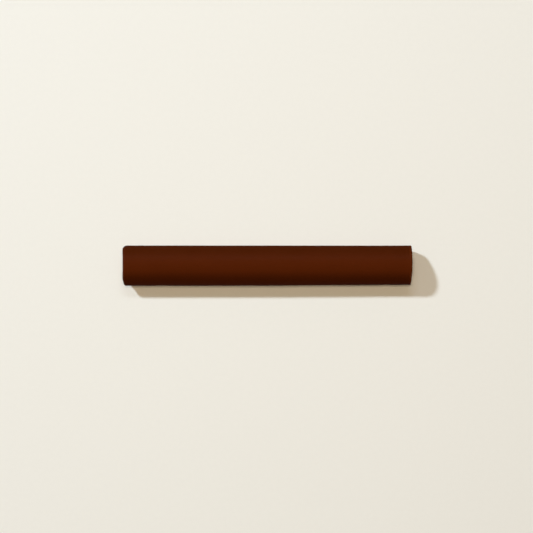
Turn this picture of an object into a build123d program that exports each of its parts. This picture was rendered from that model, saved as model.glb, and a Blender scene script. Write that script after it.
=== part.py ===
from build123d import *
import os
from math import asin, cos, degrees, radians, sin, tan

# A domed ceramic liner: the narrow trim tile that caps or divides a tiled wall.
# It lies on its flat back, with its length along X, its width along Y and its crown up.
# The origin is the middle of the back. All lengths are millimetres and all angles degrees.

# Fired size: one side is straight, and the other draws in from near the middle to the right end
length = 149.0
even_length = 72.0
left_width = 20.8
right_width = 20.3
height = 12.7

# Section: a dome on flanks that lean in towards the back, which leaves room for mortar
shoulder_height = 6.8
shoulder_radius = 2.4
flank_lean = 21.0

# Ends: the left was sponged round before firing and the right is a crisp cut
left_end_radius = 2.0
right_end_radius = 0.5

# Keying grooves, drawn along the whole back by the extrusion die
groove_count = 2
groove_spacing = 6.4
groove_mouth = 2.8
groove_depth = 0.8
groove_wall_lean = 20.0


def liner_section(width):
    """The face across the wet liner for a widest width, with its back not yet wired flat."""
    shoulder_centre = width / 2 - shoulder_radius
    crown_rise = height - shoulder_height
    # the one radius at which the crown has its full height and runs smoothly into both shoulders
    crown_radius = (shoulder_centre**2 + crown_rise**2 - shoulder_radius**2) / (
        2 * (crown_rise - shoulder_radius)
    )
    crown_half_angle = degrees(asin(shoulder_centre / (crown_radius - shoulder_radius)))
    shoulder_angle = 90 - crown_half_angle + flank_lean

    # the flanks run on below the back by a groove's depth, and the wire takes that clay off
    foot_y = -groove_depth
    flank_top_x = shoulder_centre + shoulder_radius * cos(radians(flank_lean))
    flank_top_y = shoulder_height - shoulder_radius * sin(radians(flank_lean))
    foot_x = flank_top_x - (flank_top_y - foot_y) * tan(radians(flank_lean))

    with BuildSketch() as section:
        with BuildLine():
            right_flank = Line((foot_x, foot_y), (flank_top_x, flank_top_y))
            right_shoulder = JernArc(
                right_flank @ 1, right_flank % 1, shoulder_radius, shoulder_angle
            )
            crown = JernArc(
                right_shoulder @ 1, right_shoulder % 1, crown_radius, 2 * crown_half_angle
            )
            left_shoulder = JernArc(crown @ 1, crown % 1, shoulder_radius, shoulder_angle)
            left_flank = Line(left_shoulder @ 1, (-foot_x, foot_y))
            Line(left_flank @ 1, right_flank @ 0)
        make_face()
    return section.sketch


# The liner, one drawn, wired and fired piece of clay
with BuildPart() as trim_tile:
    stations = (0, left_width), (even_length, left_width), (length, right_width)
    for distance, width in stations:
        with BuildSketch(Plane.YZ.offset(distance - length / 2)):
            # the side at +Y is the straight one, so a narrower section moves towards it
            with Locations(((left_width - width) / 2, 0)):
                add(liner_section(width))
    loft(ruled=True)
    split(bisect_by=Plane.XY, keep=Keep.TOP)

    # every edge of an end is rounded but the lowest, which the wire left sharp
    left_end, right_end = trim_tile.faces().filter_by(Plane.YZ).sort_by(Axis.X)
    fillet(left_end.edges().sort_by(Axis.Z)[1:], left_end_radius)
    fillet(right_end.edges().sort_by(Axis.Z)[1:], right_end_radius)

    with BuildSketch(Plane.YZ.offset(-length / 2)):
        with GridLocations(groove_spacing, 0, groove_count, 1):
            Trapezoid(
                groove_mouth,
                groove_depth,
                90 - groove_wall_lean,
                align=(Align.CENTER, Align.MIN),
            )
    extrude(amount=length, mode=Mode.SUBTRACT)

trim_tile.part.label = "trim_tile"
os.makedirs("parts", exist_ok=True)
export_step(trim_tile.part, "parts/trim_tile.step")
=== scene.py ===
import math

import bmesh
import bpy
from bpy.props import FloatProperty, FloatVectorProperty, PointerProperty
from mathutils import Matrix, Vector, noise


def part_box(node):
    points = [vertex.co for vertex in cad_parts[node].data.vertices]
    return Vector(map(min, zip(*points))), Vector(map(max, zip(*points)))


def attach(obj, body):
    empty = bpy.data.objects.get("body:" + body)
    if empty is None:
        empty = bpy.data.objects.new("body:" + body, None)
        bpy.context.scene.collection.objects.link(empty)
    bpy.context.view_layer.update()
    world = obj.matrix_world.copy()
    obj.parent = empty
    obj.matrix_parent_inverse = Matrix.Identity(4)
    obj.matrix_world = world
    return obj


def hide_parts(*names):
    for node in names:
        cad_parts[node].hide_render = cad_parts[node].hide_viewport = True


bl_info = {
    "name": "Domed Liner Tile",
    "version": (1, 0, 0),
    "blender": (4, 5, 0),
    "location": "View3D > Sidebar > Liner",
    "description": "Models and glazes a fired ceramic liner tile and sets it on a paper stage",
    "category": "Object",
}

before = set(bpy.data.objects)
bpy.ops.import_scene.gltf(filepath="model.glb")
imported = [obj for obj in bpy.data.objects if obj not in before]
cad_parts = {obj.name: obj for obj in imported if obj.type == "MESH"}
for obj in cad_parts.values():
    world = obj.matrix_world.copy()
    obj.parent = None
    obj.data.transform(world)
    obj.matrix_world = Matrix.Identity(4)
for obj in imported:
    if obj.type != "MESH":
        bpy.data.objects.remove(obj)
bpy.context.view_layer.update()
CAD_LOW, CAD_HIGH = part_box("trim_tile")

MM = 0.001

# Where the photograph shows the tile, in pixels of its square frame, measured at the shoulders
FRAME_SIDE_PX = 533
TILE_LENGTH_PX = 289.2
TILE_CENTRE_PX = (267.2, 265.65)

# The tile's materials, by their place in its list
GLAZE, CLAY = 0, 1
# Edges that turn by more than this stay sharp in the shading
SHARP_TURN = math.radians(40)
# Sockets of the Mix node when it mixes colours, which share their names with those for numbers
SHARE, FIRST, SECOND, MIXED = 0, 6, 7, 2
# Nearly all values of a noise texture lie in this range
NOISE_RANGE = {"From Min": 0.3, "From Max": 0.7}


def linear(hex_colour):
    """The linear colour of an sRGB hex value such as "512009"."""
    channels = [int(hex_colour[i : i + 2], 16) / 255 for i in (0, 2, 4)]
    return [c / 12.92 if c <= 0.04045 else ((c + 0.055) / 1.055) ** 2.4 for c in channels]


def colour_property(name, description, hex_colour):
    return FloatVectorProperty(
        name=name, description=description, default=linear(hex_colour), subtype="COLOR", min=0, max=1
    )


def length_property(name, description, metres):
    return FloatProperty(
        name=name, description=description, default=metres, subtype="DISTANCE", unit="LENGTH", precision=5
    )


def angle_property(name, description, degrees):
    return FloatProperty(
        name=name, description=description, default=math.radians(degrees), subtype="ANGLE", unit="ROTATION"
    )


def share_property(name, description, share):
    return FloatProperty(name=name, description=description, default=share, subtype="FACTOR", min=0, max=1)


class LinerSizes(bpy.types.PropertyGroup):
    """Sizes of the fired liner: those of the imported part, and what handwork and firing add to them."""

    length: length_property("Length", "Length over both ends", CAD_HIGH.x - CAD_LOW.x)
    even_length: length_property("Even length", "Length from the left end that keeps its width", 72 * MM)
    left_width: length_property("Left width", "Width over the left shoulders", CAD_HIGH.y - CAD_LOW.y)
    right_width: length_property("Right width", "Width over the shoulders at the right end", 20.3 * MM)
    height: length_property("Height", "Height from the back to the crown", CAD_HIGH.z - CAD_LOW.z)
    shoulder_height: length_property("Shoulder height", "Height of the widest line", 6.8 * MM)
    shoulder_radius: length_property("Shoulder radius", "Radius between crown and flank", 2.4 * MM)
    flank_lean: angle_property("Flank lean", "How far the flanks lean in towards the back", 21)
    left_end_radius: length_property("Left end radius", "Sponged rounding at the shoulders", 2.3 * MM)
    left_crown_radius: length_property("Left crown radius", "Sponged rounding at the crown", 1.0 * MM)
    left_corner_radius: length_property("Left corner radius", "Rounding at the worn corner", 1.5 * MM)
    left_end_hollow: length_property("Left end hollow", "How far the left end dishes in", 0.36 * MM)
    left_corner_wear: length_property("Left corner wear", "How far the sponge took a corner back", 0.56 * MM)
    right_end_radius: length_property("Right end radius", "Rounding of the crisp cut", 0.5 * MM)
    right_end_bow: length_property("Right end bow", "How far the right end bows out", 0.39 * MM)
    right_end_peak: length_property("Right end peak", "Where the bow is furthest out", 2.9 * MM)
    groove_spacing: length_property("Groove spacing", "Between the keying grooves", 6.4 * MM)
    groove_mouth: length_property("Groove mouth", "Width of a keying groove at the back", 2.8 * MM)
    groove_depth: length_property("Groove depth", "Depth of a keying groove", 0.8 * MM)
    groove_wall_lean: angle_property("Groove wall lean", "Lean of the groove walls", 20)
    glaze_thickness: length_property("Glaze thickness", "Thickness of the fired glaze", 0.15 * MM)
    glaze_line: length_property("Glaze line", "Mean height of the glaze's lower edge", 1.5 * MM)
    glaze_wander: length_property("Glaze wander", "How far the glaze's edge wanders up and down", 0.35 * MM)
    unevenness: length_property("Unevenness", "Depth of the hand-finished surface's waves", 0.07 * MM)
    end_unevenness: length_property("End unevenness", "Depth of the waves on the ends' faces", 0.12 * MM)
    mesh_step: length_property("Mesh step", "Length of a face along the liner", 0.5 * MM)


class FiredColours(bpy.types.PropertyGroup):
    """Colours of the glaze and of the bare clay."""

    # the crown's glaze colour, and a darker one that is painted shade on the flanks and the left end
    glaze: colour_property("Glaze", "Thin glaze on the crown", "4E1D05")
    glaze_painted_shade: colour_property("Thick glaze", "Glaze where the coat is thickest", "401703")
    glaze_broken: colour_property("Broken glaze", "Glaze drawn thin over a crisp edge", "522007")
    iron: colour_property("Iron speck", "Specks that bleed through the glaze", "2A0E04")
    clay: colour_property("Clay", "Bare fired clay", "C8AA88")
    clay_toasted: colour_property("Toasted clay", "Clay flashed brown beside the glaze", "96683F")
    grog: colour_property("Grog", "Ground fired clay in the body", "8A6D50")


class StudioSettings(bpy.types.PropertyGroup):
    """Paper, light and camera of the stage. Each share times its colour adds up to white on level paper."""

    paper: colour_property("Paper", "Uncoated cream paper under the tile", "F1EDE1")
    far_paper: colour_property("Far paper", "The paper as it is seen far from the tile", "EDE9DE")
    far_paper_start: length_property("Far paper start", "Distance where the far colour starts", 200 * MM)
    far_paper_full: length_property("Far paper full", "Distance where the far colour is full", 420 * MM)
    paper_reach: length_property("Paper reach", "From the tile to the paper's edges", 6.0)
    key_colour: colour_property("Key colour", "Colour of the window light", "DCECFF")
    key_share: share_property("Key share", "Key light on level paper", 0.56)
    key_azimuth: angle_property("Key azimuth", "Direction of the key, from +X towards +Y", 142.8)
    key_height: angle_property("Key height", "Height of the key over the horizon", 36.2)
    key_distance: length_property("Key distance", "From the tile to the key", 3.3)
    key_size: length_property("Key size", "Diameter of the key", 0.33)
    top_colour: colour_property("Top colour", "Colour of the overhead softbox", "FFEACD")
    top_share: share_property("Top share", "Light of the overhead softbox on level paper", 0.395)
    top_azimuth: angle_property("Top azimuth", "Direction of the softbox, from +X towards +Y", 90)
    top_height: angle_property("Top height", "Height of the softbox over the horizon", 86.5)
    top_distance: length_property("Top distance", "From the tile to the softbox", 1.2)
    top_size: length_property("Top size", "Width of the softbox", 0.3)
    strip_colour: colour_property("Strip colour", "Colour of the strip light", "DCECFF")
    strip_share: share_property("Strip share", "Light of the strip on level paper", 0.13)
    strip_azimuth: angle_property("Strip azimuth", "Direction of the strip, from +X towards +Y", 90)
    strip_height: angle_property("Strip height", "Height of the strip over the horizon", 52)
    strip_distance: length_property("Strip distance", "From the tile to the strip", 1.5)
    strip_size: length_property("Strip size", "Length of the strip", 0.75)
    strip_depth: length_property("Strip depth", "Depth of the strip", 0.15)
    room_colour: colour_property("Room colour", "Colour of the room's walls", "FFEACD")
    room_share: share_property("Room share", "Light of the room's walls on level paper", 0.11)
    below_level: share_property("Level below", "Light from below, once the paper is hidden", 0.7)
    camera_height: length_property("Camera height", "From the shoulders up to the camera", 1.0)


def held(value, low, high):
    """A value held between a low and a high limit."""
    return max(low, min(high, value))


def ease(share):
    """A share held between 0 and 1, and eased at both."""
    share = held(share, 0, 1)
    return share * share * (3 - 2 * share)


def noise_at(point, wavelength, seed):
    """Smooth noise from -1 to 1 at a point, for waves of a length in metres."""
    # this basis has no kinks between its cells, which would show as bands in a low view
    return noise.noise(Vector(point) / wavelength + Vector((seed, seed, seed)), noise_basis="PERLIN_NEW")


def waves_at(point, waves):
    """Sum of the waves at a point, each given by its share, its wavelength in metres and its seed."""
    return sum(share * noise_at(point, wavelength, seed) for share, wavelength, seed in waves)


class LinerForm:
    """The liner's surface, with rows round its section from foot to foot and stations along its length."""

    FLANK_STEPS = 7
    SHOULDER_STEPS = 9
    CROWN_STEPS = 30
    LEFT_END_STEPS = 8
    RIGHT_END_STEPS = 4
    LAND_STEPS = 5
    # the rows at the crown that one polygon closes on an end's face
    CLOSING_ROWS = 8
    # the bare row between the foot and the glaze lies this far over the tops of the grooves
    BARE_ROW_RISE = 0.2 * MM
    # the back has two points between the grooves, this far from its middle line
    MIDDLE_POINT = 1 * MM
    # the rows at the glaze's edge: height over the glaze line in millimetres and share of its thickness
    GLAZE_EDGE = ((-0.04, 0.0), (0.02, 0.45), (0.1, 0.85), (0.26, 1.15), (0.6, 1.0))

    # uneven handwork: the share, length and seed of each wave, and how strongly their sum swings
    GLAZE_LINE_WAVES = ((0.7, 14 * MM, 3), (0.5, 3 * MM, 5))
    GLAZE_LINE_SWING = 1.3
    SKIN_WAVES = ((0.7, 17 * MM, 11), (0.3, 6 * MM, 17))
    SKIN_SWING = 1.4
    END_WAVES = ((1.0, 6 * MM, 23),)
    # the die drew the skin's waves out to three times their length, and a little askew
    SKIN_DRAW = 3
    SKIN_SKEW = 9
    # the skin's waves fade out over this length at each end
    SKIN_FADE = 4 * MM

    # the hollow, the wear and the bow of an end fade out over this length
    END_REACH = 8 * MM
    # the corner's wear starts this far from the middle and grows over this much, in shares of the half width
    WEAR_START = 0.62
    WEAR_GROWTH = 0.25
    # below the widest line it is deeper by this share, which is reached this far down
    LOW_WEAR = 0.7
    LOW_WEAR_DROP = 3 * MM

    def __init__(self, sizes):
        self.sizes = sizes
        self.rows = self.half_rows()
        self.half_width = sizes.left_width / 2

    def half_rows(self):
        """Rows of one half of the section, from the foot to the crown: kind, place and share of glaze."""
        rows = [("height", 0.0, 0.0), ("height", self.sizes.groove_depth + self.BARE_ROW_RISE, 0.0)]
        rows += [("line", height * MM, coat) for height, coat in self.GLAZE_EDGE]
        rows += [("flank", step / self.FLANK_STEPS, 1.0) for step in range(1, self.FLANK_STEPS)]
        rows += [("shoulder", step / self.SHOULDER_STEPS, 1.0) for step in range(self.SHOULDER_STEPS)]
        rows += [("crown", step / self.CROWN_STEPS, 1.0) for step in range(self.CROWN_STEPS + 1)]
        return rows

    def glaze_line(self, x, y):
        """Height of the glaze's lower edge where it passes a point of the foot."""
        s = self.sizes
        wander = self.GLAZE_LINE_SWING * waves_at((x, y, 0), self.GLAZE_LINE_WAVES)
        return s.glaze_line + s.glaze_wander * held(wander, -1, 1)

    def low_height(self, row, line, top):
        """Height of a row below the shoulders, for a height of the glaze line and of the flank's top."""
        kind, place, _ = row
        if kind == "height":
            return place
        if kind == "line":
            return line + place
        lowest = line + self.GLAZE_EDGE[-1][0] * MM
        return lowest + (top - lowest) * place

    def width_at(self, x):
        """Width over the shoulders at a station."""
        s = self.sizes
        drawn_in = (x + s.length / 2 - s.even_length) / (s.length - s.even_length)
        return s.left_width + (s.right_width - s.left_width) * max(0, drawn_in)

    def side_shift(self, x):
        """How far the section's middle lies towards +Y, which keeps that side straight."""
        return (self.sizes.left_width - self.width_at(x)) / 2

    def section_point(self, x, row, inset, line):
        """Place (y, z) and outward direction (y, z) of a row on the +Y half, about the section's middle."""
        s = self.sizes
        kind, place, _ = row
        shoulder_y = self.width_at(x) / 2 - s.shoulder_radius
        rise = s.height - s.shoulder_height
        crown_radius = (shoulder_y**2 + rise**2 - s.shoulder_radius**2) / (2 * (rise - s.shoulder_radius))
        crown_angle = math.asin(shoulder_y / (crown_radius - s.shoulder_radius))
        flank_angle = math.pi / 2 + s.flank_lean
        if kind == "crown":
            angle = crown_angle * (1 - place)
            out = (math.sin(angle), math.cos(angle))
            radius = crown_radius - inset
            return (radius * out[0], s.height - crown_radius + radius * out[1]), out

        angle = flank_angle + (crown_angle - flank_angle) * place if kind == "shoulder" else flank_angle
        out = (math.sin(angle), math.cos(angle))
        radius = s.shoulder_radius - inset
        y, z = shoulder_y + radius * out[0], s.shoulder_height + radius * out[1]
        if kind == "shoulder":
            return (y, z), out
        height = self.low_height(row, line, z)
        return (y - (z - height) * math.tan(s.flank_lean), height), out

    def stations(self):
        """Stations from the left end to the right: x, turn into the end's face and the end's sign."""
        s = self.sizes
        turns = {}
        for end, steps in ((-1, self.LEFT_END_STEPS), (1, self.RIGHT_END_STEPS)):
            angles = [math.pi / 2 * (1 - step / steps) for step in range(steps + 1)]
            turns[end] = [(end * s.length / 2, angle, end) for angle in angles]
        start = s.left_end_radius + s.mesh_step - s.length / 2
        stop = s.length / 2 - s.right_end_radius - s.mesh_step
        count = round((stop - start) / s.mesh_step)
        middle = [(start + (stop - start) * step / count, 0.0, 0) for step in range(count + 1)]
        return turns[-1] + middle + turns[1][::-1]

    def end_radius(self, end, side, up=0):
        """Rounding between the skin and an end's face, for a side and for how far the skin faces up."""
        s = self.sizes
        if end > 0:
            return s.right_end_radius
        low_radius = s.left_end_radius if side > 0 else s.left_corner_radius
        return low_radius + (s.left_crown_radius - low_radius) * max(0, up) ** 2

    def station_x(self, station, radius):
        """Place of a station along X, for the radius of the rounding into the end's face."""
        x, turn, end = station
        return x - end * radius * (1 - math.sin(turn))

    def end_shape(self, x, y, z):
        """How far a point near an end moves along X, by its place across the section."""
        s = self.sizes
        left_near = max(0, 1 - (x + s.length / 2) / self.END_REACH)
        right_near = max(0, 1 - (s.length / 2 - x) / self.END_REACH)
        face_share = min(1, abs(y) / (self.half_width - s.left_end_radius))
        # the sponge took back the -Y corner, and more of it below its widest line
        worn_share = ease((-y / self.half_width - self.WEAR_START) / self.WEAR_GROWTH)
        low_share = ease((s.shoulder_height - z) / self.LOW_WEAR_DROP)
        worn = s.left_corner_wear * worn_share * (1 + self.LOW_WEAR * low_share)
        left = s.left_end_hollow * (1 - face_share**2) + worn
        right = s.right_end_bow * ((y - s.right_end_peak) / self.half_width) ** 2
        return left * left_near**2 - right * right_near**2

    def skin_point(self, station, row, side):
        """Place of the skin, glazed or bare, where a row crosses a station."""
        s = self.sizes
        x, turn, end = station
        line = self.glaze_line(x, side * self.width_at(x) / 2)
        _, out = self.section_point(x, row, 0, line)
        radius = self.end_radius(end, side, out[1])
        inset = radius * (1 - math.cos(turn)) if end else 0
        x = self.station_x(station, radius)
        (y, z), out = self.section_point(x, row, inset, line)

        place = Vector((x, side * y, z))
        outward = Vector((end * math.sin(turn), side * out[0] * math.cos(turn), out[1] * math.cos(turn)))
        place -= outward * (s.glaze_thickness * (1 - row[2]) + s.unevenness * self.skin_waves(place))
        place.x += self.end_shape(x, side * y, z)
        place.y += self.side_shift(x)
        if row[0] == "height":
            place.z = row[1]
        return place

    def skin_waves(self, place):
        """Share from 0 to 1 of the unevenness that sinks the skin, and none at the ends."""
        drawn = Vector((place.x / self.SKIN_DRAW + place.y / self.SKIN_SKEW, place.y, place.z))
        swell = held(self.SKIN_SWING * waves_at(drawn, self.SKIN_WAVES), -1, 1)
        from_end = self.sizes.length / 2 - abs(place.x)
        return (0.5 + 0.5 * swell) * held(from_end / self.SKIN_FADE, 0, 1)

    def face_point(self, end, row, share, near, far):
        """Place on an end's face, a share of the way from the row's -Y point to its +Y point."""
        s = self.sizes
        x = end * s.length / 2
        place = near.lerp(far, share)
        if row[0] in ("height", "line", "flank"):
            near_radius, far_radius = (self.end_radius(end, side) for side in (-1, 1))
            radius = near_radius + (far_radius - near_radius) * share
            flank_top = s.shoulder_height - (s.shoulder_radius - radius) * math.sin(s.flank_lean)
            line = self.glaze_line(x, self.width_at(x) * (share - 0.5))
            place.z = self.low_height(row, line, flank_top)
        # 1 in the middle of the face, and 0 along its edges
        edge_fade = 16 * share * (1 - share) * place.z * (s.height - place.z) / s.height**2
        sink = s.glaze_thickness * (1 - row[2])
        sink += s.end_unevenness * edge_fade * (0.5 + 0.5 * waves_at(place, self.END_WAVES))
        place.x = x + self.end_shape(x, place.y - self.side_shift(x), place.z) - end * sink
        return place

    def groove_points(self):
        """Places across the back over both keying grooves, each with its share of a groove's depth."""
        s = self.sizes
        wall = s.groove_depth * math.tan(s.groove_wall_lean)
        half_mouth = s.groove_mouth / 2
        shape = ((-half_mouth, 0), (wall - half_mouth, 1), (0, 1), (half_mouth - wall, 1), (half_mouth, 0))
        near, far = ([(side * s.groove_spacing / 2 + y, up) for y, up in shape] for side in (-1, 1))
        return [*near, (-self.MIDDLE_POINT, 0), (self.MIDDLE_POINT, 0), *far]

    def back_points(self, station, near_y, far_y):
        """Points across the back between its two feet."""
        s = self.sizes
        grooves = self.groove_points()
        first, last = grooves[0][0], grooves[-1][0]
        steps = self.LAND_STEPS
        across = [(near_y + (first - near_y) * step / steps, 0) for step in range(1, steps)]
        across += grooves
        across += [(last + (far_y - last) * step / steps, 0) for step in range(1, steps)]
        near_x, far_x = (self.station_x(station, self.end_radius(station[2], side)) for side in (-1, 1))
        sink = station[2] * math.sin(station[1]) * s.glaze_thickness
        points = []
        for y, up in across:
            x = near_x + (far_x - near_x) * (y - near_y) / (far_y - near_y)
            moved = self.end_shape(x, y - self.side_shift(x), 0) - sink
            points.append(Vector((x + moved, y, up * s.groove_depth)))
        return points


def liner_mesh(sizes):
    """The liner as one closed mesh, glazed down to its wandering line and bare below it."""
    form = LinerForm(sizes)
    bm = bmesh.new()
    skins, backs = [], []
    for station in form.stations():
        near_side = [bm.verts.new(form.skin_point(station, row, -1)) for row in form.rows]
        far_side = [bm.verts.new(form.skin_point(station, row, 1)) for row in form.rows[:-1]]
        skin = near_side + far_side[::-1]
        back = [bm.verts.new(place) for place in form.back_points(station, skin[0].co.y, skin[-1].co.y)]
        skins.append(skin)
        backs.append([skin[0], *back, skin[-1]])

    def strip(first, second, materials):
        for a, b, c, d, material in zip(first, second, second[1:], first[1:], materials):
            bm.faces.new((a, b, c, d)).material_index = material

    bare_rows = [row[0] for row in form.rows].index("line")
    half = [CLAY] * bare_rows + [GLAZE] * (len(form.rows) - 1 - bare_rows)
    for left, right in zip(skins, skins[1:]):
        strip(right, left, half + half[::-1])
    for left, right in zip(backs, backs[1:]):
        strip(left, right, [CLAY] * len(left))

    # an end's face has a line of points for each row up to near the crown, set across as the back's are
    closing_row = len(form.rows) - form.CLOSING_ROWS
    for end, skin, back in ((-1, skins[0], backs[0]), (1, skins[-1], backs[-1])):
        shares = [(vert.co.y - skin[0].co.y) / (skin[-1].co.y - skin[0].co.y) for vert in back[1:-1]]
        below = back
        for number in range(1, closing_row + 1):
            near, far = skin[number], skin[-1 - number]
            places = [form.face_point(end, form.rows[number], share, near.co, far.co) for share in shares]
            line = [near, *(bm.verts.new(place) for place in places), far]
            strip(below, line, [half[number - 1]] * len(line))
            below = line
        bm.faces.new([*below, *skin[-2 - closing_row : closing_row : -1]]).material_index = GLAZE

    bmesh.ops.recalc_face_normals(bm, faces=bm.faces)
    mesh = bpy.data.meshes.new("trim_tile_fired")
    bm.to_mesh(mesh)
    bm.free()
    mesh.shade_smooth()
    mesh.set_sharp_from_angle(angle=SHARP_TURN)
    return mesh


def add_node(tree, kind, inputs=None, **settings):
    """Adds a node with its settings, and with each input given a value or linked from an output."""
    node = tree.nodes.new(kind)
    for name, value in settings.items():
        setattr(node, name, value)
    for name, value in (inputs or {}).items():
        if isinstance(value, bpy.types.NodeSocket):
            tree.links.new(value, node.inputs[name])
        else:
            node.inputs[name].default_value = value
    return node


def new_material(name):
    """An empty node material, its tree and the object's coordinates in millimetres."""
    material = bpy.data.materials.new(name)
    material.use_nodes = True
    tree = material.node_tree
    tree.nodes.clear()
    place = add_node(tree, "ShaderNodeTexCoord").outputs["Object"]
    millimetres = add_node(tree, "ShaderNodeVectorMath", {0: place, "Scale": 1 / MM}, operation="SCALE")
    return material, tree, millimetres.outputs[0]


def scattered_grains(tree, mm, spacing, rarity, widest, strength):
    """How strongly round grains show: their strength inside a grain and nothing between them."""
    # each cell of the spacing draws a number, and holds a grain if that is over the rarity; the highest
    # number gives the widest grain, whose radius is a share of the spacing
    cells = add_node(tree, "ShaderNodeTexVoronoi", {"Vector": mm, "Scale": 1 / spacing})
    draws = {"Value": cells.outputs["Color"], "From Min": rarity, "From Max": 1.0, "To Max": widest}
    radius = add_node(tree, "ShaderNodeMapRange", draws).outputs[0]
    reaches = {0: cells.outputs["Distance"], 1: radius}
    inside = add_node(tree, "ShaderNodeMath", reaches, operation="LESS_THAN").outputs[0]
    return add_node(tree, "ShaderNodeMath", {0: inside, 1: strength}, operation="MULTIPLY").outputs[0]


def satin_iron_glaze(colours, sizes):
    """Satin iron glaze, sprayed on stoneware and fired."""
    # it gives the eye a dark, saturated brown, soft and even, with hardly any shine
    material, tree, mm = new_material("satin_iron_glaze_sprayed")
    parts = add_node(tree, "ShaderNodeSeparateXYZ", {0: mm})
    # sizes of its patterns and places of its ends, in millimetres
    cloud_width = 12.0
    speck_spacing = 1.3
    peel_wave = 1.5
    tooth_grain = 0.25
    left_end = -sizes.length / 2 / MM
    right_end = sizes.length / 2 / MM

    def shade_and_thin_glaze_ramp(axis, starts, full, share):
        """Ramps from nothing to a share between two places on an axis, for painted shade and thin glaze."""
        ranges = {"Value": parts.outputs[axis], "From Min": starts, "From Max": full, "To Max": share}
        return add_node(tree, "ShaderNodeMapRange", ranges, interpolation_type="SMOOTHSTEP").outputs[0]

    # painted shade: darker towards both sides, most at -Y, away from the key, and a little at the left end
    near_side = shade_and_thin_glaze_ramp("Y", starts=-2.1, full=-7.0, share=0.95)
    far_side = shade_and_thin_glaze_ramp("Y", starts=1.5, full=9.0, share=0.85)
    painted_shade_left_end = shade_and_thin_glaze_ramp("X", starts=left_end + 1.6, full=left_end + 0.3, share=0.5)
    painted_shade_sides = add_node(tree, "ShaderNodeMath", {0: near_side, 1: far_side}, operation="MAXIMUM")
    painted_shade = add_node(tree, "ShaderNodeMath", {0: painted_shade_sides.outputs[0], 1: painted_shade_left_end}, operation="MAXIMUM")
    # the glaze colour, mixed with its painted shade
    glaze_and_painted_shade = {SHARE: painted_shade.outputs[0], FIRST: (*colours.glaze, 1), SECOND: (*colours.glaze_painted_shade, 1)}
    coat = add_node(tree, "ShaderNodeMix", glaze_and_painted_shade, data_type="RGBA").outputs[MIXED]
    # clouds in the tone, where one pass of the spray overlaps the next
    cloud_waves = {"Vector": mm, "Scale": 1 / cloud_width, "Detail": 3.0}
    clouds = add_node(tree, "ShaderNodeTexNoise", cloud_waves).outputs["Fac"]
    tone_range = {"Value": clouds, **NOISE_RANGE, "To Min": 0.975, "To Max": 1.025}
    tone = add_node(tree, "ShaderNodeMapRange", tone_range).outputs[0]
    clouded = add_node(tree, "ShaderNodeVectorMath", {0: coat, "Scale": tone}, operation="SCALE")
    # the glaze draws back from the crisp right end and shows redder there, over the last 1.8 mm
    drawn_thin = shade_and_thin_glaze_ramp("X", starts=right_end - 1.8, full=right_end - 0.7, share=1.0)
    thin_coats = {SHARE: drawn_thin, FIRST: clouded.outputs[0], SECOND: (*colours.glaze_broken, 1)}
    broken = add_node(tree, "ShaderNodeMix", thin_coats, data_type="RGBA").outputs[MIXED]
    # iron specks up to 0.3 mm across, in about one cell of nine
    specks = scattered_grains(tree, mm, speck_spacing, rarity=0.78, widest=0.12, strength=0.6)
    specked = {SHARE: specks, FIRST: broken, SECOND: (*colours.iron, 1)}
    colour = add_node(tree, "ShaderNodeMix", specked, data_type="RGBA").outputs[MIXED]

    # a faint orange peel under the tooth of the matte crystals, which is finer than 0.1 mm and is drawn
    # coarser, so that it shows
    peel = add_node(tree, "ShaderNodeTexNoise", {"Vector": mm, "Scale": 1 / peel_wave, "Detail": 1.0})
    tooth = add_node(tree, "ShaderNodeTexNoise", {"Vector": mm, "Scale": 1 / tooth_grain, "Detail": 2.0})
    peel_bump = add_node(tree, "ShaderNodeBump", {"Height": peel.outputs["Fac"], "Distance": 0.06 * MM})
    tooth_height = {"Height": tooth.outputs["Fac"], "Distance": 0.004 * MM, "Normal": peel_bump.outputs[0]}
    tooth_bump = add_node(tree, "ShaderNodeBump", tooth_height)
    rough_range = {"Value": clouds, **NOISE_RANGE, "To Min": 0.38, "To Max": 0.46}
    roughness = add_node(tree, "ShaderNodeMapRange", rough_range).outputs[0]
    shader = add_node(
        tree,
        "ShaderNodeBsdfPrincipled",
        {
            "Base Color": colour,
            "Roughness": roughness,
            "IOR": 1.5,
            "Specular IOR Level": 0.02,
            "Normal": tooth_bump.outputs[0],
        },
    )
    add_node(tree, "ShaderNodeOutputMaterial", {"Surface": shader.outputs[0]})
    return material


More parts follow.
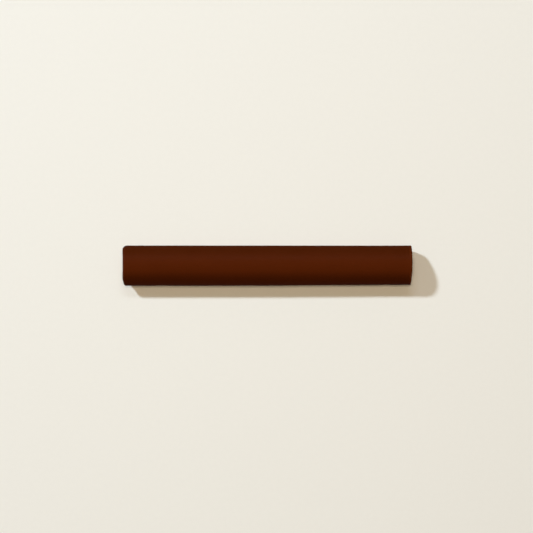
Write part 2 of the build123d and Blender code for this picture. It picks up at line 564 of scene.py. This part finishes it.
def bare_clay(colours, sizes):
    """Buff stoneware bisque, drawn through a die and wired flat."""
    # it gives the eye dry, porous, speckled clay, streaked lengthwise and toasted beside the glaze
    material, tree, mm = new_material("stoneware_bisque_wire_cut")
    parts = add_node(tree, "ShaderNodeSeparateXYZ", {0: mm})
    # sizes of its patterns and height of the glaze's edge, in millimetres
    patch_width = 5.0
    grog_spacing = 1.1
    drag_spacing = 0.4
    drag_length = 10.0
    pore_spacing = 0.35
    line = sizes.glaze_line / MM

    # the clay flashes brown for about a millimetre under the glaze's edge
    flash_range = {"Value": parts.outputs["Z"], "From Min": line - 1.2, "From Max": line + 0.2}
    flash = add_node(tree, "ShaderNodeMapRange", flash_range, interpolation_type="SMOOTHSTEP").outputs[0]
    patch_waves = {"Vector": mm, "Scale": 1 / patch_width, "Detail": 4.0}
    patches = add_node(tree, "ShaderNodeTexNoise", patch_waves).outputs["Fac"]
    tone_range = {"Value": patches, **NOISE_RANGE, "To Min": 0.9, "To Max": 1.06}
    tone = add_node(tree, "ShaderNodeMapRange", tone_range).outputs[0]
    body = add_node(tree, "ShaderNodeVectorMath", {0: tuple(colours.clay), "Scale": tone}, operation="SCALE")
    clays = {SHARE: flash, FIRST: body.outputs[0], SECOND: (*colours.clay_toasted, 1)}
    flashed = add_node(tree, "ShaderNodeMix", clays, data_type="RGBA").outputs[MIXED]
    # grog up to half a millimetre across, in about two cells of five
    grog = scattered_grains(tree, mm, grog_spacing, rarity=0.55, widest=0.24, strength=0.5)
    grogged = {SHARE: grog, FIRST: flashed, SECOND: (*colours.grog, 1)}
    colour = add_node(tree, "ShaderNodeMix", grogged, data_type="RGBA").outputs[MIXED]

    # drag lines along the length, and pores
    squeeze = (drag_spacing / drag_length, 1, 1)
    squeezed = add_node(tree, "ShaderNodeVectorMath", {0: mm, 1: squeeze}, operation="MULTIPLY").outputs[0]
    drag_waves = {"Vector": squeezed, "Scale": 1 / drag_spacing, "Detail": 2.0}
    drag = add_node(tree, "ShaderNodeTexNoise", drag_waves)
    pores = add_node(tree, "ShaderNodeTexNoise", {"Vector": mm, "Scale": 1 / pore_spacing, "Detail": 3.0})
    drag_bump = add_node(tree, "ShaderNodeBump", {"Height": drag.outputs["Fac"], "Distance": 0.06 * MM})
    pore_height = {"Height": pores.outputs["Fac"], "Distance": 0.05 * MM, "Normal": drag_bump.outputs[0]}
    pore_bump = add_node(tree, "ShaderNodeBump", pore_height)
    shader = add_node(
        tree,
        "ShaderNodeBsdfPrincipled",
        {
            "Base Color": colour,
            "Roughness": 0.9,
            "IOR": 1.5,
            "Specular IOR Level": 0.2,
            "Normal": pore_bump.outputs[0],
        },
    )
    add_node(tree, "ShaderNodeOutputMaterial", {"Surface": shader.outputs[0]})
    return material


def uncoated_paper(studio):
    """Uncoated cotton paper, marked by the felt that it was pressed with."""
    # it gives the eye a flat, pale cream with the faintest texture
    material, tree, mm = new_material("uncoated_cream_paper")
    # width of a felt mark in millimetres
    mark_width = 2.5
    felt_marks = {"Vector": mm, "Scale": 1 / mark_width, "Detail": 4.0}
    felt = add_node(tree, "ShaderNodeTexNoise", felt_marks).outputs["Fac"]
    tone_range = {"Value": felt, **NOISE_RANGE, "To Min": 0.995, "To Max": 1.005}
    tone = add_node(tree, "ShaderNodeMapRange", tone_range).outputs[0]
    toned = {0: tuple(studio.paper), "Scale": tone}
    colour = add_node(tree, "ShaderNodeVectorMath", toned, operation="SCALE")
    dry_sheet = {"Base Color": colour.outputs[0], "Roughness": 1.0, "Specular IOR Level": 0.0}
    sheet = add_node(tree, "ShaderNodeBsdfPrincipled", dry_sheet)
    # far from the tile the camera sees one even colour, so that the light doesn't fade away in a low view
    far_colour = add_node(tree, "ShaderNodeEmission", {"Color": (*studio.far_paper, 1), "Strength": 1.0})
    from_tile = add_node(tree, "ShaderNodeVectorMath", {0: mm}, operation="LENGTH").outputs["Value"]
    far_range = {
        "Value": from_tile,
        "From Min": studio.far_paper_start / MM,
        "From Max": studio.far_paper_full / MM,
    }
    far = add_node(tree, "ShaderNodeMapRange", far_range, interpolation_type="SMOOTHSTEP").outputs[0]
    camera_ray = add_node(tree, "ShaderNodeLightPath").outputs["Is Camera Ray"]
    seen_far = add_node(tree, "ShaderNodeMath", {0: far, 1: camera_ray}, operation="MULTIPLY").outputs[0]
    sheets = {0: seen_far, 1: sheet.outputs[0], 2: far_colour.outputs[0]}
    surface = add_node(tree, "ShaderNodeMixShader", sheets)
    add_node(tree, "ShaderNodeOutputMaterial", {"Surface": surface.outputs[0]})
    return material


class LINER_OT_tile(bpy.types.Operator):
    """Model the fired liner and give it its glaze and bare clay"""

    bl_idname = "liner.tile"
    bl_label = "Make the Liner Tile"

    def execute(self, context):
        scene = context.scene
        mesh = liner_mesh(scene.liner_sizes)
        mesh.materials.append(satin_iron_glaze(scene.liner_colours, scene.liner_sizes))
        mesh.materials.append(bare_clay(scene.liner_colours, scene.liner_sizes))
        tile = bpy.data.objects.new("trim_tile_fired", mesh)
        scene.collection.objects.link(tile)
        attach(tile, "root")
        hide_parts("trim_tile")
        return {"FINISHED"}


class LINER_OT_stage(bpy.types.Operator):
    """Lay the paper and set the lights and the camera"""

    bl_idname = "liner.stage"
    bl_label = "Set the Stage"

    def execute(self, context):
        scene, studio = context.scene, context.scene.liner_studio
        self.lay_paper(scene)
        # a round window to the upper left, low enough to throw a shadow longer than the tile is high
        self.hang_lamp(scene, "key", "DISK")
        # a softbox over the table, flagged so that the crown doesn't mirror it
        top = self.hang_lamp(scene, "top", "SQUARE")
        top.visible_glossy = False
        # a strip light at +Y, higher than the window, which leaves the shadow along the -Y side the deepest
        strip = self.hang_lamp(scene, "strip", "RECTANGLE")
        strip.data.size_y = studio.strip_depth
        self.fill_room(scene)
        self.set_camera(scene)
        return {"FINISHED"}

    def lay_paper(self, scene):
        """A sheet of paper that reaches past every view's edge."""
        reach = scene.liner_studio.paper_reach
        mesh = bpy.data.meshes.new("paper")
        corners = [(-reach, -reach, 0), (reach, -reach, 0), (reach, reach, 0), (-reach, reach, 0)]
        mesh.from_pydata(corners, [], [(0, 1, 2, 3)])
        mesh.materials.append(uncoated_paper(scene.liner_studio))
        paper = bpy.data.objects.new("paper", mesh)
        scene.collection.objects.link(paper)

    def hang_lamp(self, scene, name, shape):
        """A lamp that faces the tile and gives level paper its share of full light."""
        studio = scene.liner_studio
        height = getattr(studio, f"{name}_height")
        azimuth = getattr(studio, f"{name}_azimuth")
        distance = getattr(studio, f"{name}_distance")
        level = math.cos(height)
        direction = Vector((level * math.cos(azimuth), level * math.sin(azimuth), math.sin(height)))
        lamp = bpy.data.lights.new(name, "AREA")
        lamp.shape = shape
        lamp.size = getattr(studio, f"{name}_size")
        lamp.color = getattr(studio, f"{name}_colour")
        # at a share of 1, a flat lamp of this power lights level white paper up to white
        lamp.energy = getattr(studio, f"{name}_share") * math.pi**2 * distance**2 / direction.z
        hung = bpy.data.objects.new(name, lamp)
        hung.location = direction * distance
        hung.rotation_euler = direction.to_track_quat("Z", "Y").to_euler()
        hung.visible_camera = False
        scene.collection.objects.link(hung)
        return hung

    def fill_room(self, scene):
        """A dim room over the paper, and a pale one below it to light the back once the paper is hidden."""
        studio = scene.liner_studio
        world = bpy.data.worlds.new("room")
        world.use_nodes = True
        tree = world.node_tree
        tree.nodes.clear()
        direction = add_node(tree, "ShaderNodeTexCoord").outputs["Generated"]
        up = add_node(tree, "ShaderNodeSeparateXYZ", {0: direction}).outputs["Z"]
        below = add_node(tree, "ShaderNodeMath", {0: up, 1: 0.0}, operation="LESS_THAN").outputs[0]
        levels = {"Value": below, "To Min": studio.room_share, "To Max": studio.below_level}
        strength = add_node(tree, "ShaderNodeMapRange", levels).outputs[0]
        walls = {"Color": (*studio.room_colour, 1), "Strength": strength}
        fill = add_node(tree, "ShaderNodeBackground", walls)
        # past the paper's edge the camera sees the far paper's colour
        seen = add_node(tree, "ShaderNodeBackground", {"Color": (*studio.far_paper, 1), "Strength": 1.0})
        camera_ray = add_node(tree, "ShaderNodeLightPath").outputs["Is Camera Ray"]
        mix = add_node(tree, "ShaderNodeMixShader", {0: camera_ray, 1: fill.outputs[0], 2: seen.outputs[0]})
        add_node(tree, "ShaderNodeOutputWorld", {"Surface": mix.outputs[0]})
        scene.world = world
        scene.view_settings.view_transform = "Standard"

    def set_camera(self, scene):
        """A long lens straight above, framed as in the photograph."""
        studio, sizes = scene.liner_studio, scene.liner_sizes
        per_pixel = sizes.length / TILE_LENGTH_PX
        lens = bpy.data.cameras.new("camera")
        lens.lens = lens.sensor_width * studio.camera_height / (per_pixel * FRAME_SIDE_PX)
        camera = bpy.data.objects.new("camera", lens)
        half_side = FRAME_SIDE_PX / 2
        camera.location = (
            (half_side - TILE_CENTRE_PX[0]) * per_pixel,
            (TILE_CENTRE_PX[1] - half_side) * per_pixel,
            sizes.shoulder_height + studio.camera_height,
        )
        scene.collection.objects.link(camera)
        scene.camera = camera


class LINER_PT_panel(bpy.types.Panel):
    """Lists the liner's steps and settings"""

    bl_idname = "LINER_PT_panel"
    bl_label = "Domed Liner Tile"
    bl_space_type = "VIEW_3D"
    bl_region_type = "UI"
    bl_category = "Liner"

    def draw(self, context):
        for operator in (LINER_OT_tile, LINER_OT_stage):
            self.layout.operator(operator.bl_idname)
        for name in SETTINGS:
            box = self.layout.box()
            settings = getattr(context.scene, name)
            for field in type(settings).__annotations__:
                box.prop(settings, field)


SETTINGS = {"liner_sizes": LinerSizes, "liner_colours": FiredColours, "liner_studio": StudioSettings}
CLASSES = (*SETTINGS.values(), LINER_OT_tile, LINER_OT_stage, LINER_PT_panel)


def register():
    for cls in CLASSES:
        bpy.utils.register_class(cls)
    for name, group in SETTINGS.items():
        setattr(bpy.types.Scene, name, PointerProperty(type=group))


def unregister():
    for name in SETTINGS:
        delattr(bpy.types.Scene, name)
    for cls in reversed(CLASSES):
        bpy.utils.unregister_class(cls)


def main():
    register()
    bpy.ops.liner.tile()
    bpy.ops.liner.stage()


if __name__ == "__main__":
    main()
